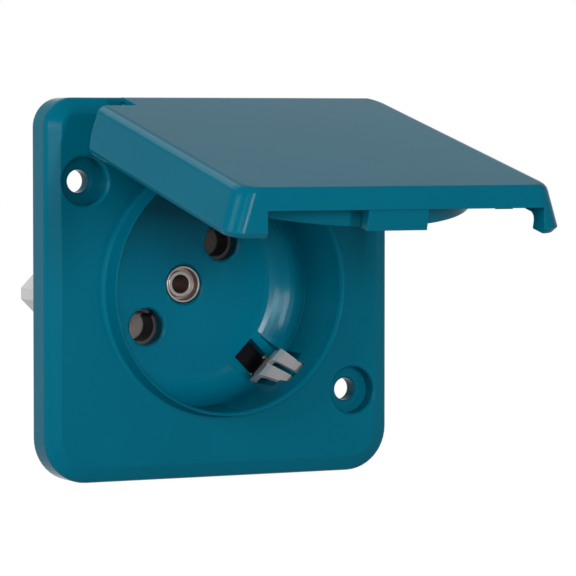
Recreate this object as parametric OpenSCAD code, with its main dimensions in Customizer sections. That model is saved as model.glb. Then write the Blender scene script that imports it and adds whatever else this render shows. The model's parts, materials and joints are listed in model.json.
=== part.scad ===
// Built-in earthed socket with a square flange and a hinged lid, in millimetres.
// The row frame has +Z up and the face towards -Y. The origin is the middle of the flange's back.
// Pieces are drawn in a face frame: x right, y up, z out of the face, and turned upright at the end.

/* [Flange] */
// Width of the square front flange
flange_w = 60; // [58:0.5:66]
// Height of the front flange
flange_h = 60; // [59:0.5:66]
// Thickness of the flange, back face to front face
flange_t = 5.5; // [5:0.1:8]
// Radius of the two upper corners
top_corner_r = 4.6; // [3:0.1:6]
// Radius of the two lower corners
low_corner_r = 7; // [4:0.1:8]
// Width of the shallow bevel round the front edge
bevel_w = 2.4; // [1:0.1:2.8]
// Depth of that bevel
bevel_d = 0.8; // [0.4:0.1:1.5]
// Depth of the cored pockets in the flange's back
pocket_d = 3; // [1:0.1:3.2]

/* [Well] */
// Inner radius of the round plug well
well_r = 19.5; // [19.2:0.1:20]
// Depth of the well, rim to floor
well_depth = 17.5; // [16:0.1:20]
// Height of the raised collar over the flange face
collar_h = 3.6; // [2:0.05:3.8]
// Radius of the collar where it leaves the flange face
collar_base_r = 20.9; // [20.6:0.1:22]
// Width of the flat rim on top of the collar
rim_w = 0.5; // [0.3:0.05:0.8]
// Wall of the cup behind the flange
cup_wall = 2.5; // [2:0.1:3]
// Thickness of the well's floor
floor_t = 2.5; // [2:0.1:3.5]
// Radius of the hollow between the floor and the wall
well_fillet = 5; // [3:0.1:5.5]
// Turn of the socket insert about the well's axis
insert_turn = 45; // [0:1:90]

/* [Pins and rivet] */
// Distance between the two plug pins
pin_pitch = 19; // [18.5:0.1:19.5]
// Diameter of each pin hole in the floor
pin_hole_d = 5.9; // [5.4:0.1:6.2]
// Diameter of the round hole in the middle of the floor
centre_hole_d = 6.2; // [5.8:0.1:7]
// Outer diameter of the tubular rivet
rivet_d = 4.2; // [3.6:0.1:4.6]
// Wall of the tubular rivet
rivet_wall = 0.6; // [0.4:0.05:0.8]

/* [Panel screws] */
// Sideways distance between the two screw holes
screw_dx = 47; // [46:0.1:48]
// Upright distance between the two screw holes
screw_dy = 34; // [33:0.1:36]
// Diameter of each screw hole
screw_hole_d = 3.6; // [3:0.1:4]
// Diameter of the recess for the screw head
screw_head_d = 7.6; // [6.5:0.1:8]
// Depth of that recess
screw_head_h = 2.75; // [2:0.05:3]

/* [Lid] */
// Opening angle of the lid in its rest pose
lid_open = 76.4; // [0:0.1:110]
// How far the lid's free edge lies past the collar's foot
lid_front = 9.4; // [8:0.1:10]
// Width of the lid across the foot of its skirts
lid_w = 54.8; // [53:0.1:56]
// How far each side of the lid leans in, foot to shoulder
lid_lean = 1.5; // [0.3:0.1:2]
// How far the lid's free edge leans back, foot to shoulder
front_lean = 1.3; // [0.3:0.1:2]
// Radius of the long shoulders between the lid's face and sides
shoulder_r = 1.6; // [1:0.1:2]
// Radius of the lid's corners at the hinge
lid_rear_r = 6.5; // [4:0.1:7]
// Radius of the lid's corners at the free edge
lid_front_r = 2.8; // [1:0.1:4]
// Thickness of the lid's face plate
lid_plate = 3.2; // [2.6:0.1:3.4]
// Thickness of the side skirts at their foot
skirt_t = 3.4; // [3:0.1:4]
// Depth of the skirts below the hinge axis
skirt_drop = 3.2; // [2.8:0.1:3.5]
// How far the round wall under the lid lies outside the collar's foot
arc_room = 4; // [3:0.1:5]
// Thickness of that wall
arc_t = 1.8; // [1.2:0.1:2]
// Width of the catch in the middle of the free edge
catch_w = 9.8; // [6:0.1:14]
// How far the catch stands below the face plate
catch_h = 3.2; // [2:0.1:3.6]
// Width of the leg in the left front corner
leg_left = 6.1; // [4:0.1:7]
// Length of the finger notch in the right skirt
notch_l = 11; // [8:0.5:14]
// How far the lid's left rear corner is cut back from the hinge axis
rear_cut = 5; // [4.5:0.1:6]

/* [Hinge] */
// Room between the collar's foot and the lid's barrel
hinge_room = 1.5; // [1.2:0.1:3]
// Distance of the hinge axis out of the flange face
hinge_out = 4.1; // [3.9:0.1:4.5]
// Diameter of the hinge pin
hinge_pin_d = 2; // [1.6:0.1:2.4]
// Outer radius of the flange's hinge ears
ear_r = 2.8; // [2.4:0.1:3]
// Width of the ear's foot above the axis, which sets where the open lid stops
ear_stop = 1.9; // [1.4:0.1:2]
// Thickness of each ear
ear_t = 1.8; // [1.4:0.1:2.2]
// Distance of each ear's inner side from the middle
ear_x = 17; // [15:0.1:18]

/* [Seals] */
// Width of the seal ring in the lid
lid_seal_w = 4.4; // [3:0.1:5]
// Width of the seal strip in the flange's back
flange_seal_w = 2.2; // [1.6:0.1:2.4]
// Depth of that strip's groove
flange_seal_t = 1.5; // [1:0.1:2]
// Distance of that groove from the flange's edge
flange_seal_in = 1.4; // [1:0.1:1.8]

/* [Earth strap] */
// Thickness of the earth strap's sheet
strap_t = 0.8; // [0.5:0.05:1]
// Width of the strap behind the floor
strap_w = 7; // [6.6:0.1:7.4]
// Width of the two spring clips at their root
clip_w = 7; // [5:0.1:7.2]
// Width of each clip at its tip
clip_tip_w = 4; // [3.4:0.1:4.6]
// Width of the slit along each clip
clip_slit = 1; // [0.6:0.1:1.4]
// How far each clip bulges in from the well's wall
clip_bulge = 1.4; // [1:0.1:2]
// Width of the floor hole that a clip comes through
clip_hole = 4.2; // [4:0.1:5]
// How far that hole reaches in from the well's wall
clip_hole_in = 4.6; // [4:0.1:5]

/* [Terminal base] */
// Length of the base along the pin line
base_l = 29.1; // [28.6:0.1:31]
// Width of the base across the pin line
base_w = 22.9; // [22.6:0.1:24]
// Depth of the base behind the well's floor
base_d = 24; // [22:0.1:26]
// Cut on each long corner of the base
base_cut = 1.3; // [0.6:0.1:2]
// Thickness of the base's rear wall
base_rear = 2.4; // [2:0.1:3]

/* [Contacts] */
// Inner diameter of the contact sleeves
sleeve_bore_d = 4.9; // [4.8:0.05:5]
// Wall of the contact sleeves
sleeve_wall = 0.8; // [0.6:0.05:0.9]
// Width of the two slits in each sleeve
sleeve_slit = 0.8; // [0.5:0.1:1]
// Length of those slits
sleeve_slit_l = 9; // [6:0.5:10]
// Thickness of the spring ring round each sleeve
ring_t = 0.6; // [0.4:0.05:0.7]
// Length of the spring ring
ring_l = 5; // [3:0.5:6]

/* [Terminals] */
// Side of the square terminal blocks
block_w = 6.4; // [6:0.1:6.6]
// Length of the terminal blocks, front to back
block_l = 9; // [8:0.1:9.5]
// Side of the wire chamber in each block
wire_w = 3.6; // [3:0.1:4]
// Diameter of the terminal screws' thread
term_screw_d = 3.5; // [3:0.1:3.6]
// Diameter of the terminal screws' head
term_head_d = 4.4; // [4:0.1:4.8]
// Height of that head
term_head_h = 1.4; // [1:0.1:1.6]
// Thickness of the clamp plate under each terminal screw
clamp_t = 0.7; // [0.4:0.1:0.9]

/* [Hidden] */
// Clearance between the lid and the flange that it turns on
lid_gap = 0.3;
// Radial running clearance of the lid on its pin
pin_run = 0.05;
// Radial clearance of the pin in its ears, and of pieces in their seats
seat_gap = 0.02;
// Clearance of pieces dropped into a moulded pocket
pocket_gap = 0.15;
// Gap that the closed lid leaves over the collar's rim
seal_gap = 0.1;
// Overrun of a cut past the face it opens
cut = 0.5;
// Smallest corner radius of a set-in outline
least_r = 0.8;
// Thickness of the slices that a hull joins
slice_t = 0.02;
// Fineness of true rounds, and of rounds inside a hull
$fn = 64;
hull_fn = 48;

face_z = flange_t;
rim_z = face_z + collar_h;
floor_z = rim_z - well_depth;
floor_back = floor_z - floor_t;
cup_r = well_r + cup_wall;
rim_r = well_r + rim_w;
rim_lead = 0.6;
rim_land = 0.2;
collar_foot = 0.6;
seat_ledge = 1.2;
seat_r = well_r + seat_ledge;
seat_z = floor_z + well_fillet;
fillet_steps = [for (a = [0 : -10 : -90]) [well_r + well_fillet * (cos(a) - 1), seat_z + well_fillet * sin(a)]];
edge_cut = 0.35;
edge_steps = [[0, -0.6], [0.15, -0.2], [0.5, 0.05], [bevel_w, bevel_d]];
base_back = floor_back - base_d;

barrel_r = hinge_out - lid_gap;
hinge_y = collar_base_r + hinge_room + barrel_r;
hinge_z = face_z + hinge_out;
ear_end = ear_x + ear_t;
slot_in = ear_x - lid_gap;
slot_out = ear_end + lid_gap;
slot_top = 1.5;

lid_reach = hinge_y + collar_base_r + lid_front;
arc_r = collar_base_r + arc_room;
lid_ceiling = barrel_r - lid_plate;
lid_foot = -skirt_drop;
lid_h = barrel_r - lid_foot;
lid_half = lid_w / 2;
lid_inner = lid_half - skirt_t;
foot_r = 0.8;
foot_in = 0.45;
nose_in = 0.6;
rear_round = 2.5;
catch_t = 2;
catch_set = 1.1;
leg_w = 3.3;
notch_h = 2.3;
notch_r = 1.2;
well_off = -hinge_y;
arc_inner = arc_r - arc_t;
cavity_back = -barrel_r - lid_gap;

half_pitch = pin_pitch / 2;
sleeve_r = sleeve_bore_d / 2 + sleeve_wall;
ring_r = sleeve_r + ring_t;
sleeve_front = floor_back - pocket_gap;
sleeve_back = base_back + base_rear;
block_q = sleeve_r + block_w / 2 - sleeve_wall / 2;
ring_set = 1.2;
ring_front = sleeve_front - ring_set;
strap_back = floor_back - strap_t;
clip_channel = 0.7;
clip_back = 0.1;
clip_tip = 6.6;
clip_rise = 1.2;
bulge_drop = 5;
strap_reach = well_r + clip_channel - clip_back - strap_t / 2;
clip_tip_z = rim_z - clip_tip;
clip_slot_h = 3.6;
clip_slot_low = 1.3;
clip_slot_d = 1.7;
clip_spread = floor_z + clip_rise;
clip_hole_l = clip_hole_in + clip_channel;
earth_q = base_w / 2 + pocket_gap + block_w / 2;
earth_back = strap_back - block_l;
screw_at = 0.45;
washer_t = 0.5;
washer_w = 1.5;
washer_r = rivet_d / 2 + washer_w;
land_w = 1.8;
boss_wall = 1.5;
block_end = 1.5;
wire_room = 0.3;
head_room = 0.2;
flare_w = 0.7;
cup_lip = 0.35;

teal = "#0c6478";
pale = "#c9c8c8";

// Turns the face frame upright: its y becomes Z and its z becomes -Y
module face_on() {
    rotate([90, 0, 0]) children();
}

// Places a piece in the insert's turned frame: p along the pin line, q across it
module insert_frame(half_turn = 0) {
    rotate([0, 0, insert_turn + half_turn]) children();
}

// Places a piece in the lid's own frame, about the hinge axis at the lid's rest angle
module lid_frame() {
    translate([0, hinge_y, hinge_z]) rotate([-lid_open, 0, 0]) children();
}

// Outline with one corner radius low down and another high up
module outline(w, y0, y1, r0, r1) {
    mid = (y0 + y1) / 2;
    translate([-w / 2, y0 + r0]) square([w, y1 - r1 - y0 - r0]);
    translate([r0 - w / 2, y0]) square([w - 2 * r0, mid - y0]);
    translate([r1 - w / 2, mid]) square([w - 2 * r1, y1 - mid]);
    for (side = [-1, 1]) {
        translate([side * (w / 2 - r0), y0 + r0]) circle(r0);
        translate([side * (w / 2 - r1), y1 - r1]) circle(r1);
    }
}

// The flange's outline, set in from its edge
module flange_outline(inset) {
    outline(flange_w - 2 * inset, inset - flange_h / 2, flange_h / 2 - inset,
            max(low_corner_r - inset, least_r), max(top_corner_r - inset, least_r));
}

// Both panel screw places
module at_screws() {
    for (side = [-1, 1]) translate([side * screw_dx / 2, -side * screw_dy / 2, 0]) children();
}

// Extrudes a y-z profile along x, centred
module along_x(length) {
    translate([-length / 2, 0, 0]) rotate([90, 0, 90]) linear_extrude(length) children();
}

// Extrudes an x-z profile back along y from y1
module along_y(y1, length) {
    translate([0, y1, 0]) rotate([90, 0, 0]) linear_extrude(length) children();
}

// Flange plate with its rounded and bevelled front edge
module flange_plate() {
    hull() for (step = edge_steps)
        linear_extrude(flange_t - bevel_d + step[1]) flange_outline(step[0], $fn = hull_fn);
}

// Outside of the cup and collar as one turned shape
module cup_outside() {
    rotate_extrude() polygon([
        [0, floor_back], [cup_r, floor_back], [cup_r, flange_t / 2], [collar_base_r, face_z],
        [collar_base_r - 2 * collar_foot / 3, face_z + collar_foot / 5],
        [collar_base_r - collar_foot, face_z + 3 * collar_foot / 4], [rim_r, rim_z], [0, rim_z]]);
}

// Space inside the well, with a small lead at its rim and the floor's seat at its rear
module well_space() {
    rotate_extrude() polygon([
        [0, floor_back - cut], [seat_r + seat_gap, floor_back - cut], [seat_r + seat_gap, seat_z],
        [well_r, seat_z], [well_r, rim_z - rim_lead], [rim_r - rim_land, rim_z],
        [rim_r - rim_land, rim_z + cut], [0, rim_z + cut]]);
}

// Hole from a front face down, with a small cut round its edge
module edged_hole(d, face, depth) {
    translate([0, 0, face - depth]) cylinder(d = d, h = depth + cut);
    translate([0, 0, face - edge_cut]) cylinder(d1 = d, d2 = d + 4 * edge_cut, h = 2 * edge_cut);
}

// Ears that carry the hinge pin
module hinge_ears() {
    for (side = [-1, 1])
        translate([side * (ear_x + ear_t / 2), 0, 0]) along_x(ear_t) {
            translate([hinge_y, hinge_z]) circle(ear_r);
            translate([hinge_y - ear_r, face_z - cut]) square([ear_r + ear_stop, hinge_out + cut]);
        }
}

// Floor hole of one clip, the channel behind its blade and the slot for its tips
module clip_openings() {
    channel_w = clip_w + 2 * pocket_gap;
    slot_w = clip_tip_w + 2 * pocket_gap;
    slot_z = clip_tip_z - clip_slot_low;
    translate([-clip_hole / 2, well_r - clip_hole_in, floor_back - cut])
        cube([clip_hole, clip_hole_l, floor_t + 2 * cut]);
    translate([-channel_w / 2, well_r - clip_hole_in, floor_z])
        cube([channel_w, clip_hole_l, slot_z - floor_z + cut]);
    translate([-slot_w / 2, well_r - clip_hole_in, slot_z])
        cube([slot_w, clip_hole_in + clip_slot_d, clip_slot_h]);
}

// Openings for both earth clips
module both_clip_openings() {
    for (half_turn = [0, 180]) insert_frame(half_turn) clip_openings();
}

// Cored pockets in the flange's back, clear of the cup and the screw bosses
module back_pockets() {
    land = flange_seal_in + flange_seal_w + land_w;
    translate([0, 0, -cut]) linear_extrude(pocket_d + cut) difference() {
        flange_outline(land, $fn = hull_fn);
        circle(cup_r + land_w);
        at_screws() circle(d = screw_head_d + 2 * boss_wall);
        translate([-ear_end - land_w, hinge_y - ear_r - land_w]) square([2 * (ear_end + land_w), flange_h]);
    }
}

// Groove of the flange seal, or the seal itself with its clearance
module seal_ring(gap) {
    difference() {
        flange_outline(flange_seal_in + gap);
        flange_outline(flange_seal_in + flange_seal_w - gap);
    }
}

module flange_body() {
    color(teal) face_on() difference() {
        union() {
            flange_plate();
            cup_outside();
            hinge_ears();
        }
        well_space();
        both_clip_openings();
        back_pockets();
        translate([0, 0, -cut]) linear_extrude(flange_seal_t + cut) seal_ring(0);
        at_screws() {
            edged_hole(screw_hole_d, flange_t - screw_head_h, flange_t);
            edged_hole(screw_head_d, flange_t, screw_head_h);
        }
        translate([-ear_end - cut, hinge_y, hinge_z]) rotate([0, 90, 0])
            cylinder(d = hinge_pin_d + 2 * seat_gap, h = 2 * (ear_end + cut));
    }
}

// Floor of the well: a dished plate set in the cup from behind, under the rivet's cup
module well_floor() {
    color(teal) face_on() difference() {
        rotate_extrude() polygon(concat(
            [[0, floor_back], [seat_r, floor_back], [seat_r, seat_z - seat_gap], [well_r, seat_z - seat_gap]],
            [for (i = [1 : len(fillet_steps) - 1]) fillet_steps[i]], [[0, floor_z]]));
        edged_hole(centre_hole_d, floor_z, floor_t + cut);
        insert_frame() for (side = [-1, 1])
            translate([side * half_pitch, 0, 0]) edged_hole(pin_hole_d, floor_z, floor_t + cut);
        both_clip_openings();
    }
}

module flange_seal() {
    color("#2a2c2e") face_on() linear_extrude(flange_seal_t) seal_ring(pocket_gap);
}

// Thin slice of the lid's outline at one height, set in at its sides and its free edge
module lid_slice(side_in, front_in, height) {
    translate([0, 0, height])
        linear_extrude(slice_t) outline(lid_w - 2 * side_in, front_in - lid_reach, barrel_r,
                                        lid_front_r, lid_rear_r, $fn = hull_fn);
}

// Lid's outside without its barrel: leaning sides and free edge under a rounded shoulder
module lid_body() {
    knee = barrel_r - shoulder_r - slice_t;
    hull() {
        lid_slice(foot_in, foot_in, lid_foot);
        lid_slice(0, 0, lid_foot + foot_r);
        for (a = [0 : 18 : 90])
            lid_slice(lid_lean + shoulder_r * (1 - cos(a)), front_lean + nose_in * (1 - cos(a)),
                      knee + shoulder_r * sin(a));
    }
}

// Lid's side profile: a plain block with the round hinge barrel
module lid_profile() {
    circle(barrel_r);
    translate([-lid_reach - cut, lid_foot]) square([lid_reach + cut, lid_h]);
}

// Hollow under the lid: a round room over the collar and pockets outside its wall
module lid_hollow() {
    depth = lid_ceiling - lid_foot + cut;
    translate([0, 0, lid_foot - cut]) {
        linear_extrude(depth) intersection() {
            translate([0, well_off]) circle(arc_inner);
            translate([-lid_inner, -lid_reach]) square([2 * lid_inner, lid_reach + cavity_back]);
        }
        linear_extrude(depth) difference() {
            translate([-lid_inner, -lid_reach - cut])
                square([2 * lid_inner, lid_reach + cut - rear_cut - arc_t]);
            translate([0, well_off]) circle(arc_r);
            translate([-lid_half, -lid_reach]) square([leg_left, leg_w]);
        }
    }
}

// Catch in the middle of the free edge
module lid_catch() {
    translate([-catch_w / 2, catch_set - lid_reach, lid_ceiling - catch_h])
        cube([catch_w, catch_t, catch_h + cut]);
}

// Finger notch in the right skirt, behind its front leg
module finger_notch() {
    translate([lid_half, 0, 0]) along_x(2 * skirt_t + cut)
        offset(notch_r) offset(delta = -notch_r)
            translate([leg_w - lid_reach, lid_foot - notch_h]) square([notch_l, 2 * notch_h]);
}

// Cut-out of the left rear corner, where the hinge pin goes in
module rear_corner() {
    translate([-lid_half, -rear_cut, -2 * barrel_r]) linear_extrude(4 * barrel_r) {
        translate([-cut, 0]) square([lid_half - slot_out + cut, rear_cut + barrel_r + cut]);
        translate([0, -rear_round]) difference() {
            translate([-cut, 0]) square([rear_round + cut, rear_round]);
            translate([rear_round, 0]) circle(rear_round);
        }
    }
}

// Room in the lid's barrel for the ears, which ends where the lid stops
module ear_slots() {
    for (side = [-1, 1])
        translate([side * (slot_in + slot_out) / 2, 0, 0]) along_x(slot_out - slot_in) {
            circle(ear_r + lid_gap);
            translate([slot_top, -2 * barrel_r]) square([2 * barrel_r, 4 * barrel_r]);
            translate([cavity_back, -2 * barrel_r]) square([4 * barrel_r, 2 * barrel_r]);
        }
}

module lid() {
    color(teal) face_on() lid_frame() difference() {
        union() {
            difference() {
                intersection() {
                    lid_body();
                    along_x(lid_w + 2 * cut) lid_profile();
                }
                lid_hollow();
                finger_notch();
            }
            lid_catch();
        }
        rear_corner();
        ear_slots();
        translate([-slot_out, 0, 0]) rotate([0, 90, 0])
            cylinder(d = hinge_pin_d + 2 * pin_run, h = 2 * slot_out);
    }
}

module lid_seal() {
    seal_r = well_r + rim_w / 2 + lid_seal_w / 2;
    seal_foot = collar_h - hinge_out + seal_gap;
    color("#26282a") face_on() lid_frame() translate([0, well_off, seal_foot])
        linear_extrude(lid_ceiling - seal_foot) difference() {
            circle(seal_r);
            circle(seal_r - lid_seal_w);
        }
}

module hinge_pin() {
    color("#b9bcc0") face_on() translate([-ear_end, hinge_y, hinge_z]) rotate([0, 90, 0])
        cylinder(d = hinge_pin_d, h = 2 * ear_end);
}

// One terminal block's screw axis runs along p from the block's outer side
module block_with_chamber() {
    difference() {
        translate([-block_w / 2, -block_w / 2, 0]) cube([block_w, block_w, block_l]);
        translate([-wire_w / 2, -wire_w / 2, -cut]) cube([wire_w, wire_w, block_l - block_end + cut]);
        translate([0, 0, block_l * screw_at]) rotate([0, 90, 0])
            cylinder(d = term_screw_d + 2 * seat_gap, h = block_w);
    }
}

// Clamp plate that rides in a wire chamber under its screw
module clamp_plate() {
    translate([wire_w / 2 - clamp_t, -wire_w / 2 + pocket_gap, pocket_gap])
        cube([clamp_t, wire_w - 2 * pocket_gap, block_l - block_end - 2 * pocket_gap]);
}

// Slotted terminal screw, from the clamp plate out through the block's side
module terminal_screw() {
    shank = (block_w - wire_w) / 2;
    slot_w = 0.8;
    translate([wire_w / 2, 0, block_l * screw_at]) rotate([0, 90, 0]) difference() {
        union() {
            cylinder(d = term_screw_d, h = shank + term_head_h);
            translate([0, 0, shank]) cylinder(d = term_head_d, h = term_head_h);
        }
        translate([-term_head_d, -slot_w / 2, shank + term_head_h / 2])
            cube([2 * term_head_d, slot_w, term_head_h]);
    }
}

// Place of the live terminals beside their sleeves
module at_live_terminal(half_turn) {
    insert_frame(half_turn) translate([half_pitch, block_q, sleeve_back]) children();
}

// Place of the earth terminal on the strap, its screw facing out
module at_earth_terminal() {
    insert_frame() translate([0, earth_q, earth_back]) rotate([0, 0, 90]) children();
}

// Contact: a slit sleeve for the plug's pin with its terminal block beside it
module contact(half_turn) {
    color("#c9a24e") face_on() {
        insert_frame(half_turn) translate([half_pitch, 0, 0]) difference() {
            translate([0, 0, sleeve_back]) cylinder(r = sleeve_r, h = sleeve_front - sleeve_back);
            translate([0, 0, sleeve_back - cut])
                cylinder(d = sleeve_bore_d, h = sleeve_front - sleeve_back + 2 * cut);
            translate([-2 * sleeve_r, -sleeve_slit / 2, sleeve_front - sleeve_slit_l])
                cube([4 * sleeve_r, sleeve_slit, sleeve_slit_l + cut]);
        }
        at_live_terminal(half_turn) block_with_chamber();
    }
}

// Open spring ring that keeps a sleeve tight on its pin
module contact_ring(half_turn) {
    mouth = 1.6;
    color("#8d9094") face_on() insert_frame(half_turn)
        translate([half_pitch, 0, ring_front - ring_l]) difference() {
            cylinder(r = ring_r, h = ring_l);
            translate([0, 0, -cut]) cylinder(r = sleeve_r + seat_gap, h = ring_l + 2 * cut);
            translate([-ring_r - cut, -mouth / 2, -cut]) cube([ring_r + cut, mouth, ring_l + 2 * cut]);
        }
}

// Pocket of one contact, its wire entry and its screw's way in
module contact_pocket(half_turn) {
    room = block_w / 2 + pocket_gap;
    insert_frame(half_turn) {
        translate([half_pitch, 0, sleeve_back])
            cylinder(r = ring_r + pocket_gap, h = floor_back - sleeve_back + cut);
        translate([half_pitch - room, 0, sleeve_back])
            cube([2 * room, block_q + room, floor_back - sleeve_back + cut]);
        translate([half_pitch, block_q, base_back - cut])
            cylinder(d = wire_w + 2 * wire_room, h = base_rear + 2 * cut);
        translate([half_pitch, block_q, sleeve_back + block_l * screw_at]) rotate([0, 90, 0])
            cylinder(d = term_head_d + 2 * head_room, h = base_l);
    }
}

// Rectangle with its four corners cut off
module blunt_rectangle(l, w, c) {
    hl = l / 2;
    hw = w / 2;
    polygon([[hl, c - hw], [hl, hw - c], [hl - c, hw], [c - hl, hw],
             [-hl, hw - c], [-hl, c - hw], [c - hl, -hw], [hl - c, -hw]]);
}

module terminal_base() {
    color(pale) face_on() difference() {
        insert_frame() translate([0, 0, base_back])
            linear_extrude(base_d) blunt_rectangle(base_l, base_w, base_cut);
        for (half_turn = [0, 180]) contact_pocket(half_turn);
        translate([0, 0, base_back - cut])
            cylinder(d = rivet_d + 2 * pocket_gap, h = base_d + 2 * cut);
        insert_frame() translate([-strap_w / 2 - pocket_gap, -base_w, strap_back])
            cube([strap_w + 2 * pocket_gap, 2 * base_w, strap_t + cut]);
    }
}

// Direction across a bent strip's middle line at point i
function strip_side(line, i) =
    let (a = line[max(i - 1, 0)], b = line[min(i + 1, len(line) - 1)], along = (b - a) / norm(b - a))
    [-along[1], along[0]];

// Outline of a strip of sheet bent along a middle line
function strip(line, t) = concat(
    [for (i = [0 : len(line) - 1]) line[i] + strip_side(line, i) * t / 2],
    [for (i = [len(line) - 1 : -1 : 0]) line[i] - strip_side(line, i) * t / 2]);

// One end of the strap: a tongue up through the floor, then the split spring clip
module earth_clip() {
    bend = 0.6;
    mid = floor_back - strap_t / 2;
    bulge_q = well_r - clip_bulge;
    bulge_z = clip_tip_z - bulge_drop;
    tongue = [[0, mid], [strap_reach - bend, mid], [strap_reach, mid + bend], [strap_reach, clip_spread]];
    blade = [[strap_reach, clip_spread - bend], [strap_reach - bend / 2, clip_spread + 2 * bend],
             [bulge_q + bend / 2, bulge_z - 2 * bend], [bulge_q, bulge_z],
             [bulge_q + bend / 2, bulge_z + 2 * bend], [strap_reach + bend, clip_tip_z]];
    along_x(clip_hole - strap_t) polygon(strip(tongue, strap_t));
    difference() {
        intersection() {
            along_x(clip_w) polygon(strip(blade, strap_t));
            along_y(cup_r, cup_r) polygon([
                [-clip_w / 2, floor_back], [clip_w / 2, floor_back], [clip_w / 2, clip_spread + bend],
                [clip_tip_w / 2, clip_tip_z + strap_t], [-clip_tip_w / 2, clip_tip_z + strap_t],
                [-clip_w / 2, clip_spread + bend]]);
        }
        translate([-clip_slit / 2, 0, clip_spread + 3 * bend]) cube([clip_slit, cup_r, well_depth]);
    }
}

module earth_strap() {
    color("#b4b2ac") face_on() insert_frame() difference() {
        union() {
            translate([-strap_w / 2, -strap_reach, strap_back]) cube([strap_w, 2 * strap_reach, strap_t]);
            for (half_turn = [0, 180]) rotate([0, 0, half_turn]) earth_clip();
        }
        translate([0, 0, strap_back - cut]) cylinder(d = rivet_d + 2 * seat_gap, h = strap_t + 2 * cut);
    }
}

module earth_terminal() {
    color("#c9a24e") face_on() at_earth_terminal() block_with_chamber();
}

// Stepped tubular rivet: a cup in the floor's hole, a ring inside it and a shank to the rear
module centre_rivet() {
    shank_r = rivet_d / 2;
    bore_r = shank_r - rivet_wall;
    cup = centre_hole_d / 2 - pocket_gap;
    flare = shank_r + flare_w;
    head_t = 0.5;
    ring_h = 1.1;
    tail_z = base_back - washer_t;
    color("#b9b7b2") face_on() rotate_extrude() polygon([
        [bore_r, tail_z - head_t], [flare, tail_z - head_t], [flare, tail_z], [shank_r, tail_z],
        [shank_r, floor_back], [cup, floor_back], [cup, floor_z - cup_lip],
        [cup - cup_lip, floor_z - cup_lip],
        [cup - cup_lip, floor_back + head_t], [shank_r, floor_back + head_t],
        [shank_r, floor_back + ring_h], [bore_r, floor_back + ring_h]]);
}

module rivet_washer() {
    color("#a9abae") face_on() translate([0, 0, base_back - washer_t]) difference() {
        cylinder(r = washer_r, h = washer_t);
        translate([0, 0, -cut]) cylinder(d = rivet_d + 2 * seat_gap, h = washer_t + 2 * cut);
    }
}

// The live pieces, each pair half a turn apart
module line_contact() { contact(0); }
module neutral_contact() { contact(180); }
module line_contact_ring() { contact_ring(0); }
module neutral_contact_ring() { contact_ring(180); }

// Steel colour of the small terminal pieces
module steel() { color("#9a9da1") face_on() children(); }
module line_clamp() { steel() at_live_terminal(0) clamp_plate(); }
module neutral_clamp() { steel() at_live_terminal(180) clamp_plate(); }
module earth_clamp() { steel() at_earth_terminal() clamp_plate(); }
module line_terminal_screw() { steel() at_live_terminal(0) terminal_screw(); }
module neutral_terminal_screw() { steel() at_live_terminal(180) terminal_screw(); }
module earth_terminal_screw() { steel() at_earth_terminal() terminal_screw(); }

flange_body();
well_floor();
flange_seal();
lid();
lid_seal();
hinge_pin();
terminal_base();
line_contact();
neutral_contact();
line_contact_ring();
neutral_contact_ring();
line_clamp();
neutral_clamp();
earth_clamp();
line_terminal_screw();
neutral_terminal_screw();
earth_terminal_screw();
earth_strap();
earth_terminal();
centre_rivet();
rivet_washer();
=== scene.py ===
"""Looks of a built-in earthed socket with a hinged lid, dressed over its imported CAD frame.

The frame gives every rigid shape. This script softens the moulded edges, gives each piece a
procedural finish, and sets up a plain studio with the camera at the photograph's angle.
"""

from __future__ import annotations

import json
import logging
import math
from dataclasses import dataclass
from enum import Enum

import bpy
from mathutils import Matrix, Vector

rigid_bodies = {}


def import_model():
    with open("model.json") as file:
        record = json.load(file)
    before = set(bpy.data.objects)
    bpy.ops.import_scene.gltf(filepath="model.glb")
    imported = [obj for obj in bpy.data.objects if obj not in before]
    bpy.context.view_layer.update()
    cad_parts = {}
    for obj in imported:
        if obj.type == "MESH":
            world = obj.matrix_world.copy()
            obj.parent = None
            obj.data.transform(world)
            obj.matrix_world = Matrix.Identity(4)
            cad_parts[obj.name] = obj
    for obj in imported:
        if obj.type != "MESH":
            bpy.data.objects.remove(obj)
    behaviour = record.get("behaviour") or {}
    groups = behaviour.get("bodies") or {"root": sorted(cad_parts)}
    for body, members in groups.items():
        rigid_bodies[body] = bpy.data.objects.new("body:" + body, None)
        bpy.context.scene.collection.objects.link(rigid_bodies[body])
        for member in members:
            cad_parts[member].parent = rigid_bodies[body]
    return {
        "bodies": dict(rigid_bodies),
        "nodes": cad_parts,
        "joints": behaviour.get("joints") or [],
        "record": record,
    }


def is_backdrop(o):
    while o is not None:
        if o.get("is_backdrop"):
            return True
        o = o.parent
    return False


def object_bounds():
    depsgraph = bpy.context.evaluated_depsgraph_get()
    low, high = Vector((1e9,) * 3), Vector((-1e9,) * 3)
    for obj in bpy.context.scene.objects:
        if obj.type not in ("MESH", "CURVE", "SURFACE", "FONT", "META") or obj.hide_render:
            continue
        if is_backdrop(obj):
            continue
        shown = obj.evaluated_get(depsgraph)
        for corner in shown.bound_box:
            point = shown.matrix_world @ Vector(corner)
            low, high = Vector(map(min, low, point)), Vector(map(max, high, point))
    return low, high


LOG = logging.getLogger("socket")
MM = 0.001

Colour = tuple[float, float, float]
Point = tuple[float, float, float]


class Edge(Enum):
    """How a piece's edges are softened: bevel width in millimetres and its segments."""

    AS_BUILT = (0.0, 0)
    MOULDED = (0.25, 2)
    SHEET = (0.12, 2)
    TURNED = (0.1, 2)

    @property
    def width(self) -> float:
        """Bevel width in metres."""
        return self.value[0] * MM

    @property
    def segments(self) -> int:
        """Number of bevel segments."""
        return self.value[1]


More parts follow.
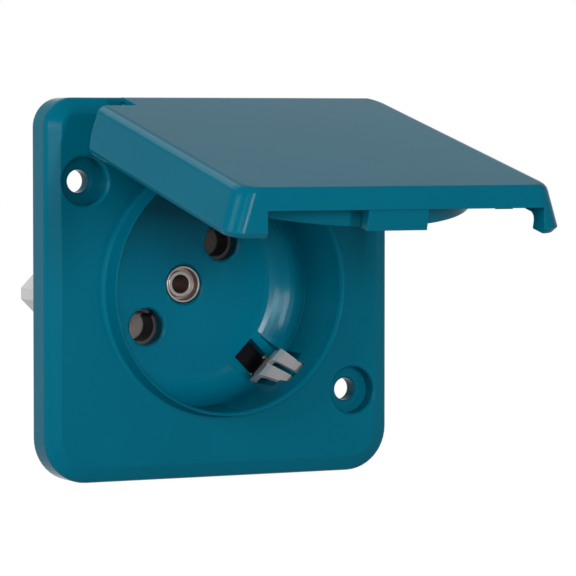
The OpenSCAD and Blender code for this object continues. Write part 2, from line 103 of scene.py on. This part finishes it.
class NodeSketch:
    """Short-hand for laying out a shader node tree."""

    def __init__(self, tree: bpy.types.NodeTree) -> None:
        """Keeps the tree that the nodes go into."""
        self.tree = tree

    def add(self, kind: str, **settings: object) -> bpy.types.Node:
        """Adds a node and sets its properties and unlinked inputs.

        Args:
            kind: Blender's node type, such as ShaderNodeTexNoise.
            settings: Property names, or input names written with spaces as underscores.

        Returns:
            The new node.
        """
        made = self.tree.nodes.new(kind)
        for key, value in settings.items():
            label = key.replace("_", " ")
            if label in made.inputs:
                made.inputs[label].default_value = value
            else:
                setattr(made, key, value)
        return made

    def link(self, source: bpy.types.NodeSocket, target: bpy.types.NodeSocket) -> None:
        """Joins an output to an input."""
        self.tree.links.new(source, target)

    def feed(self, value: object, slot: bpy.types.NodeSocket) -> None:
        """Gives an input its value, which is a socket to join or a constant to set."""
        if isinstance(value, bpy.types.NodeSocket):
            self.link(value, slot)
        else:
            slot.default_value = value

    def math(self, operation: str, a: object, b: object = 0.0) -> bpy.types.NodeSocket:
        """Adds a Math node.

        Args:
            operation: Blender's name of the operation.
            a: First operand, a socket or a number.
            b: Second operand, a socket or a number.

        Returns:
            The result's socket.
        """
        made = self.tree.nodes.new("ShaderNodeMath")
        made.operation = operation
        for slot, value in zip(made.inputs, (a, b)):
            self.feed(value, slot)
        return made.outputs[0]

    def ramp(self, source: bpy.types.NodeSocket, low: object, high: object) -> bpy.types.NodeSocket:
        """Stretches a value so that low becomes 0 and high becomes 1, and clamps it.

        Args:
            source: The value to stretch.
            low: The value that becomes 0, a socket or a number.
            high: The value that becomes 1, a socket or a number.

        Returns:
            The stretched value's socket.
        """
        made = self.tree.nodes.new("ShaderNodeMapRange")
        self.link(source, made.inputs["Value"])
        for slot, value in ((made.inputs["From Min"], low), (made.inputs["From Max"], high)):
            self.feed(value, slot)
        return made.outputs["Result"]

    def seen(self) -> bpy.types.NodeSocket:
        """Adds a mask that is 1 for what the camera sees, also through glass and in gloss."""
        path = self.add("ShaderNodeLightPath")
        direct = self.math("MAXIMUM", path.outputs["Is Camera Ray"],
                           path.outputs["Is Transmission Ray"])
        return self.math("MAXIMUM", direct, path.outputs["Is Glossy Ray"])

    def mix(self, share: object, a: object, b: object) -> bpy.types.NodeSocket:
        """Mixes two colours.

        Args:
            share: The share of the second colour, a socket or a number.
            a: First colour, a socket or four numbers.
            b: Second colour, a socket or four numbers.

        Returns:
            The mixed colour's socket.
        """
        made = self.tree.nodes.new("ShaderNodeMix")
        made.data_type = "RGBA"
        for slot, value in ((made.inputs[0], share), (made.inputs[6], a), (made.inputs[7], b)):
            self.feed(value, slot)
        return made.outputs[2]


class EffectGroups:
    """Shader node groups that several finishes share, each built once."""

    def __init__(self) -> None:
        """Builds every group."""
        self.grain = self._grain()
        self.scuffs = self._scuffs()
        self.edges = self._edges()
        self.depth = self._depth()

    @staticmethod
    def _new(name: str, inputs: dict[str, float],
             outputs: list[str]) -> tuple[NodeSketch, bpy.types.Node, bpy.types.Node]:
        """Starts a group with float sockets.

        Args:
            name: The group's name.
            inputs: Input names with their defaults.
            outputs: Output names.

        Returns:
            The sketch of its tree, its input node and its output node.
        """
        tree = bpy.data.node_groups.new(name, "ShaderNodeTree")
        for label, value in inputs.items():
            socket = tree.interface.new_socket(label, in_out="INPUT", socket_type="NodeSocketFloat")
            socket.default_value = value
        for label in outputs:
            tree.interface.new_socket(label, in_out="OUTPUT", socket_type="NodeSocketFloat")
        sketch = NodeSketch(tree)
        return sketch, sketch.add("NodeGroupInput"), sketch.add("NodeGroupOutput")

    def _grain(self) -> bpy.types.NodeTree:
        """Fine grain of a moulded or cast skin: a height, and a slow drift of tone."""
        sketch, given, out = self._new(
            "surface_grain", {"Grains per metre": 2500.0, "Drift per metre": 60.0},
            ["Height", "Drift"])
        place = sketch.add("ShaderNodeTexCoord").outputs["Object"]
        fine = sketch.add("ShaderNodeTexNoise", Detail=3.0, Roughness=0.6)
        sketch.link(place, fine.inputs["Vector"])
        sketch.link(given.outputs["Grains per metre"], fine.inputs["Scale"])
        slow = sketch.add("ShaderNodeTexNoise", Detail=2.0, Roughness=0.5)
        sketch.link(place, slow.inputs["Vector"])
        sketch.link(given.outputs["Drift per metre"], slow.inputs["Scale"])
        sketch.link(fine.outputs["Fac"], out.inputs["Height"])
        sketch.link(sketch.ramp(slow.outputs["Fac"], 0.3, 0.7), out.inputs["Drift"])
        return sketch.tree

    def _scuffs(self) -> bpy.types.NodeTree:
        """Faint handling marks: stretched noise cut down to a few thin streaks."""
        sketch, given, out = self._new(
            "faint_scuffs", {"Marks per metre": 160.0, "Stretch": 9.0}, ["Mask"])
        place = sketch.add("ShaderNodeTexCoord").outputs["Object"]
        turned = sketch.add("ShaderNodeMapping")
        turned.inputs["Rotation"].default_value = (0.6, 0.35, 0.8)
        sketch.link(place, turned.inputs["Vector"])
        scale = sketch.add("ShaderNodeCombineXYZ", X=1.0, Z=1.0)
        sketch.link(given.outputs["Stretch"], scale.inputs["Y"])
        drawn = sketch.add("ShaderNodeVectorMath", operation="MULTIPLY")
        sketch.link(turned.outputs["Vector"], drawn.inputs[0])
        sketch.link(scale.outputs["Vector"], drawn.inputs[1])
        streak = sketch.add("ShaderNodeTexNoise", Detail=4.0, Roughness=0.7)
        sketch.link(drawn.outputs["Vector"], streak.inputs["Vector"])
        sketch.link(given.outputs["Marks per metre"], streak.inputs["Scale"])
        sketch.link(sketch.ramp(streak.outputs["Fac"], 0.62, 0.78), out.inputs["Mask"])
        return sketch.tree

    def _edges(self) -> bpy.types.NodeTree:
        """Mask of edges, where the normal turns within a short reach: painted highlight, partly
        polish.
        """
        sketch, given, out = self._new(
            "edge_highlight_and_polish", {"Reach": 0.4 * MM, "Low": 0.01, "High": 0.14}, ["Mask"])
        eased = sketch.add("ShaderNodeBevel", samples=4)
        sketch.link(given.outputs["Reach"], eased.inputs["Radius"])
        turn = sketch.add("ShaderNodeVectorMath", operation="DOT_PRODUCT")
        sketch.link(eased.outputs["Normal"], turn.inputs[0])
        sketch.link(sketch.add("ShaderNodeNewGeometry").outputs["Normal"], turn.inputs[1])
        lean = sketch.math("SUBTRACT", 1.0, turn.outputs["Value"])
        mask = sketch.ramp(lean, given.outputs["Low"], given.outputs["High"])
        sketch.link(mask, out.inputs["Mask"])
        return sketch.tree

    def _depth(self) -> bpy.types.NodeTree:
        """Mask that grows from 0 to 1 between two depths behind the flange's back face."""
        sketch, given, out = self._new(
            "depth_behind_face", {"Low": 8.0 * MM, "High": 9.0 * MM}, ["Mask"])
        place = sketch.add("ShaderNodeSeparateXYZ")
        sketch.link(sketch.add("ShaderNodeTexCoord").outputs["Object"], place.inputs["Vector"])
        mask = sketch.ramp(place.outputs["Y"], given.outputs["Low"], given.outputs["High"])
        sketch.link(mask, out.inputs["Mask"])
        return sketch.tree


@dataclass(frozen=True)
class TarnishAndShade:
    """Darkened stretch of a metal piece: its colour and the depths between which it sets in.

    With starts above ends, the dark stretch is the one towards the face. On the contacts and the
    earth strap the dark stretch is painted shade; in the rivet's bore it is the bore's own brown.
    """

    colour: Colour
    starts: float
    ends: float


@dataclass(frozen=True)
class Finish:
    """One procedural material of the socket.

    The colour drifts slowly between two tones, the grain gives roughness and bump, scuffs
    change the gloss, and edges take a lighter tone, a painted highlight that partly also
    stands for polish.
    """

    name: str
    colour: Colour
    drift_colour: Colour
    edge_highlight_colour: Colour
    roughness: float
    roughness_swing: float = 0.06
    metallic: float = 0.0
    specular: float = 0.5
    grains: float = 2500.0
    drift: float = 60.0
    bump: float = 0.08
    bump_depth: float = 0.03 * MM
    marks: float = 160.0
    stretch: float = 9.0
    scuff_gloss: float = 0.1
    edge_radius: float = 0.0
    tarnish_and_shade: TarnishAndShade | None = None

    def build(self, groups: EffectGroups) -> bpy.types.Material:
        """Builds the material.

        Args:
            groups: The shared effect groups.

        Returns:
            The new material.
        """
        made = bpy.data.materials.new(self.name)
        made.use_nodes = True
        tree = made.node_tree
        sketch = NodeSketch(tree)
        skin = tree.nodes["Principled BSDF"]
        grain = sketch.add("ShaderNodeGroup", node_tree=groups.grain)
        grain.inputs["Grains per metre"].default_value = self.grains
        grain.inputs["Drift per metre"].default_value = self.drift
        scuffs = sketch.add("ShaderNodeGroup", node_tree=groups.scuffs)
        scuffs.inputs["Marks per metre"].default_value = self.marks
        scuffs.inputs["Stretch"].default_value = self.stretch
        edges = sketch.add("ShaderNodeGroup", node_tree=groups.edges)
        tone = sketch.mix(grain.outputs["Drift"], (*self.colour, 1.0), (*self.drift_colour, 1.0))
        # The lighter edge tone is a painted highlight along edges, partly also polish.
        tone = sketch.mix(edges.outputs["Mask"], tone, (*self.edge_highlight_colour, 1.0))
        # The depth stretch paints shade on the contacts and the earth strap, and browns the rivet's
        # bore.
        if self.tarnish_and_shade is not None:
            depth = sketch.add("ShaderNodeGroup", node_tree=groups.depth)
            depth.inputs["Low"].default_value = self.tarnish_and_shade.starts
            depth.inputs["High"].default_value = self.tarnish_and_shade.ends
            tone = sketch.mix(depth.outputs["Mask"], tone, (*self.tarnish_and_shade.colour, 1.0))
        sketch.link(tone, skin.inputs["Base Color"])
        swing = sketch.math("MULTIPLY_ADD", grain.outputs["Height"], self.roughness_swing)
        swing.node.inputs[2].default_value = self.roughness - self.roughness_swing / 2
        gloss = sketch.math("MULTIPLY", scuffs.outputs["Mask"], self.scuff_gloss)
        sketch.link(sketch.math("ADD", swing, gloss), skin.inputs["Roughness"])
        bump = sketch.add("ShaderNodeBump", Strength=self.bump, Distance=self.bump_depth)
        sketch.link(grain.outputs["Height"], bump.inputs["Height"])
        if self.edge_radius > 0.0:
            soft = sketch.add("ShaderNodeBevel", samples=4, Radius=self.edge_radius)
            sketch.link(soft.outputs["Normal"], bump.inputs["Normal"])
        sketch.link(bump.outputs["Normal"], skin.inputs["Normal"])
        skin.inputs["Metallic"].default_value = self.metallic
        skin.inputs["Specular IOR Level"].default_value = self.specular
        return made


# Each finish's third colour is its lighter edge tone: a painted highlight, partly also polish.
TEAL = Finish("teal_moulding", (0.0, 0.128, 0.198), (0.0, 0.12, 0.187), (0.003, 0.15, 0.225),
              roughness=0.14, specular=0.035, grains=2600.0, bump=0.06, edge_radius=0.3 * MM)
PALE = Finish("pale_moulding", (0.58, 0.57, 0.58), (0.55, 0.545, 0.55), (0.64, 0.635, 0.64),
              roughness=0.45, grains=1800.0, bump=0.1)
# The contacts' dark stretch near their mouths is painted shade.
PLATED = Finish("plated_contact", (0.9, 0.84, 0.82), (0.8, 0.74, 0.72), (0.95, 0.92, 0.9),
                roughness=0.5, metallic=0.1, grains=1500.0, marks=700.0,
                tarnish_and_shade=TarnishAndShade((0.03, 0.03, 0.035), 15.6 * MM, 14.9 * MM))
ZINC = Finish("zinc_steel", (0.5, 0.51, 0.53), (0.44, 0.45, 0.47), (0.62, 0.63, 0.65),
              roughness=0.33, metallic=1.0, grains=3000.0, marks=600.0)
SPRING = Finish("spring_steel", (0.3, 0.31, 0.34), (0.25, 0.26, 0.3), (0.42, 0.43, 0.46),
                roughness=0.3, metallic=1.0, grains=2000.0, marks=500.0)
# The earth strap's dark stretch deeper behind the well floor is painted shade.
NICKEL = Finish("nickel_strip", (0.92, 0.86, 0.84), (0.8, 0.75, 0.73), (0.98, 0.97, 0.96),
                roughness=0.2, metallic=0.5, grains=1200.0, marks=900.0,
                tarnish_and_shade=TarnishAndShade((0.012, 0.011, 0.014), 7.9 * MM, 8.5 * MM))
RIVET = Finish("rivet_brass", (0.3, 0.27, 0.26), (0.25, 0.22, 0.21), (0.5, 0.47, 0.46),
               roughness=0.24, metallic=0.5, grains=1200.0, marks=900.0,
               tarnish_and_shade=TarnishAndShade((0.34, 0.22, 0.18), 9.9 * MM, 10.6 * MM))
RUBBER = Finish("seal_rubber", (0.02, 0.021, 0.023), (0.026, 0.027, 0.029), (0.035, 0.036, 0.038),
                roughness=0.72, specular=0.35, grains=4000.0, bump=0.25)


@dataclass
class SubAssembly:
    """A group of CAD pieces that share a finish and an edge."""

    title: str
    nodes: list[str]
    finish: Finish
    edge: Edge
    edge_angle: float = 28.0
    weld: float = 0.002 * MM
    flat_angle: float = 0.2
    calm_weight: int = 60

    def soften(self, piece: bpy.types.Object) -> None:
        """Rounds a piece's sharp edges with modifiers, and leaves its mesh as it is.

        Args:
            piece: The CAD piece.
        """
        if self.edge is not Edge.AS_BUILT:
            weld = piece.modifiers.new("join_seams", "WELD")
            weld.merge_threshold = self.weld
            flats = piece.modifiers.new("clean_flats", "DECIMATE")
            flats.decimate_type = "DISSOLVE"
            flats.angle_limit = math.radians(self.flat_angle)
            bevel = piece.modifiers.new("soft_edges", "BEVEL")
            bevel.width = self.edge.width
            bevel.segments = self.edge.segments
            bevel.limit_method = "ANGLE"
            bevel.angle_limit = math.radians(self.edge_angle)
            bevel.use_clamp_overlap = True
            bevel.miter_outer = "MITER_ARC"
        calm = piece.modifiers.new("calm_flats", "WEIGHTED_NORMAL")
        calm.mode = "FACE_AREA"
        calm.weight = self.calm_weight
        calm.keep_sharp = True

    def dress(self, frame: dict, groups: EffectGroups,
              made: dict[str, bpy.types.Material]) -> None:
        """Gives every piece of the group its edges and its finish.

        Args:
            frame: The loaded frame.
            groups: The shared effect groups.
            made: Materials built so far, by finish.
        """
        if self.finish.name not in made:
            made[self.finish.name] = self.finish.build(groups)
        for name in self.nodes:
            piece = frame["nodes"][name]
            piece.data.materials.clear()
            piece.data.materials.append(made[self.finish.name])
            self.soften(piece)
            LOG.info("%s: %s in %s", self.title, name, self.finish.name)


@dataclass(frozen=True)
class Lamp:
    """A soft lamp that faces the socket: place and size in metres, power in watts.

    A sheen lamp is a window that shows only as gloss in the bottom of the well, where no other
    piece shades it.
    """

    name: str
    at: Point
    size: tuple[float, float]
    power: float
    sheen: bool = False

    def hang(self, glossy: bpy.types.Collection) -> None:
        """Adds the lamp to the scene.

        Args:
            glossy: The pieces in which a sheen lamp shows.
        """
        data = bpy.data.lights.new(self.name, "AREA")
        data.shape = "RECTANGLE"
        data.size, data.size_y = self.size
        data.energy = self.power
        made = bpy.data.objects.new(self.name, data)
        made.location = self.at
        made.rotation_euler = (-Vector(self.at)).to_track_quat("-Z", "Y").to_euler()
        if self.sheen:
            made.visible_diffuse = False
            made.light_linking.receiver_collection = glossy
            made.light_linking.blocker_collection = glossy
        bpy.context.scene.collection.objects.link(made)


@dataclass
class Studio:
    """Plain studio: pale floor, soft lamps, white surround and the photograph's camera.

    The surround is white to the eye. Its light and the tone of its top are set apart from that.
    """

    camera_at: Point = (-0.24415, -0.50614, 0.0263)
    camera_aim: Point = (0.01171, -0.0055, -0.00026)
    lens_mm: float = 220.44
    nearest: float = 0.01
    floor_size: float = 6.0
    floor_gap: float = 0.0003
    floor_share: float = 0.93
    floor_tone: float = 0.5
    floor_roughness: float = 0.9
    floor_glow: float = 1.06
    surround: float = 0.3
    dome_tone: float = 0.55
    dome_low: float = 0.2
    dome_high: float = 0.42
    lamps: tuple[Lamp, ...] = (
        Lamp("corner_strip", (0.035, -1.0, 0.09), (0.05, 0.2), 3.0),
        Lamp("front_strip", (-0.4, -0.9, 0.12), (0.04, 0.2), 2.3),
        Lamp("left_panel", (-0.9, -0.3, 0.25), (0.4, 0.4), 4.2),
        Lamp("rear_panel", (-0.25, 0.7, 0.9), (0.8, 0.8), 4.8),
        Lamp("well_pane_right", (-0.12, -1.18, 0.36), (0.74, 0.56), 38.0, sheen=True),
        Lamp("well_pane_middle", (-0.76, -0.91, 0.36), (0.74, 0.56), 38.0, sheen=True),
        Lamp("well_pane_left", (-1.14, -0.33, 0.36), (0.74, 0.56), 38.0, sheen=True),
    )

    def camera(self) -> None:
        """Places the camera at the photograph's viewpoint."""
        data = bpy.data.cameras.new("photo_camera")
        data.lens = self.lens_mm
        data.clip_start = self.nearest
        made = bpy.data.objects.new("photo_camera", data)
        made.location = self.camera_at
        look = Vector(self.camera_aim) - Vector(self.camera_at)
        made.rotation_euler = look.to_track_quat("-Z", "Y").to_euler()
        bpy.context.scene.collection.objects.link(made)
        bpy.context.scene.camera = made

    def world(self) -> None:
        """Makes the surround white to the eye and in reflections, and soft grey as light."""
        made = bpy.data.worlds.new("studio")
        made.use_nodes = True
        bpy.context.scene.world = made
        sketch = NodeSketch(made.node_tree)
        height = sketch.add("ShaderNodeSeparateXYZ")
        sketch.link(sketch.add("ShaderNodeTexCoord").outputs["Generated"], height.inputs["Vector"])
        overhead = sketch.ramp(height.outputs["Z"], self.dome_low, self.dome_high)
        dome = sketch.math("MULTIPLY_ADD", overhead, self.dome_tone - 1.0)
        dome.node.inputs[2].default_value = 1.0 - self.surround
        level = sketch.math("MULTIPLY_ADD", sketch.seen(), dome)
        level.node.inputs[2].default_value = self.surround
        sky = made.node_tree.nodes["Background"]
        sky.inputs["Color"].default_value = (1.0, 1.0, 1.0, 1.0)
        sketch.link(level, sky.inputs["Strength"])

    def floor(self, lowest: float) -> None:
        """Lays a pale floor under the socket that is white to the eye but for the shadow.

        Args:
            lowest: Height of the socket's lowest point in metres.
        """
        half = self.floor_size / 2
        mesh = bpy.data.meshes.new("floor")
        corners = [(-half, -half, 0), (half, -half, 0), (half, half, 0), (-half, half, 0)]
        mesh.from_pydata(corners, [], [(0, 1, 2, 3)])
        made = bpy.data.objects.new("floor", mesh)
        made.location = (0.0, 0.0, lowest - self.floor_gap)
        bpy.context.scene.collection.objects.link(made)
        paper = bpy.data.materials.new("floor_paper")
        paper.use_nodes = True
        sketch = NodeSketch(paper.node_tree)
        skin = paper.node_tree.nodes["Principled BSDF"]
        skin.inputs["Base Color"].default_value = (*[self.floor_tone] * 3, 1.0)
        skin.inputs["Roughness"].default_value = self.floor_roughness
        glow = sketch.add("ShaderNodeEmission", Color=(1.0, 1.0, 1.0, 1.0),
                          Strength=self.floor_glow)
        share = sketch.math("MULTIPLY", sketch.seen(), self.floor_share)
        blend = sketch.add("ShaderNodeMixShader")
        sketch.link(share, blend.inputs["Fac"])
        sketch.link(skin.outputs["BSDF"], blend.inputs[1])
        sketch.link(glow.outputs["Emission"], blend.inputs[2])
        end = paper.node_tree.nodes["Material Output"]
        sketch.link(blend.outputs["Shader"], end.inputs["Surface"])
        mesh.materials.append(paper)
        made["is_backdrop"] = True

    def build(self, lowest: float, glossy: bpy.types.Collection) -> None:
        """Sets up the whole studio.

        Args:
            lowest: Height of the socket's lowest point in metres.
            glossy: The pieces in which the sheen lamps show.
        """
        self.camera()
        for lamp in self.lamps:
            lamp.hang(glossy)
        self.world()
        self.floor(lowest)
        bpy.context.scene.view_settings.view_transform = "Standard"


def sub_assemblies() -> list[SubAssembly]:
    """The socket's sub-assemblies in the order in which they are put together."""
    return [
        SubAssembly("flange", ["flange_body", "well_floor"], TEAL, Edge.AS_BUILT),
        SubAssembly("lid", ["lid"], TEAL, Edge.AS_BUILT),
        SubAssembly("seals", ["flange_seal", "lid_seal"], RUBBER, Edge.MOULDED),
        SubAssembly("terminal base", ["terminal_base"], PALE, Edge.MOULDED),
        SubAssembly("contacts", ["line_contact", "neutral_contact", "earth_terminal"],
                    PLATED, Edge.TURNED),
        SubAssembly("contact rings", ["line_contact_ring", "neutral_contact_ring"],
                    SPRING, Edge.SHEET),
        SubAssembly("terminal hardware",
                    ["line_clamp", "neutral_clamp", "earth_clamp", "line_terminal_screw",
                     "neutral_terminal_screw", "earth_terminal_screw", "rivet_washer", "hinge_pin"],
                    ZINC, Edge.TURNED),
        SubAssembly("earth strap", ["earth_strap"], NICKEL, Edge.SHEET),
        SubAssembly("centre rivet", ["centre_rivet"], RIVET, Edge.TURNED),
    ]


def main() -> None:
    """Loads the frame, dresses every sub-assembly and sets up the studio."""
    logging.basicConfig(level=logging.INFO, format="%(name)s %(message)s")
    for left_over in list(bpy.data.objects):
        bpy.data.objects.remove(left_over)
    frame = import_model()
    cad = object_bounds()
    groups = EffectGroups()
    made: dict[str, bpy.types.Material] = {}
    for group in sub_assemblies():
        group.dress(frame, groups, made)
    glossy = bpy.data.collections.new("well_bottom")
    glossy.objects.link(frame["nodes"]["well_floor"])
    Studio().build(cad[0].z, glossy)


if __name__ == "__main__":
    main()
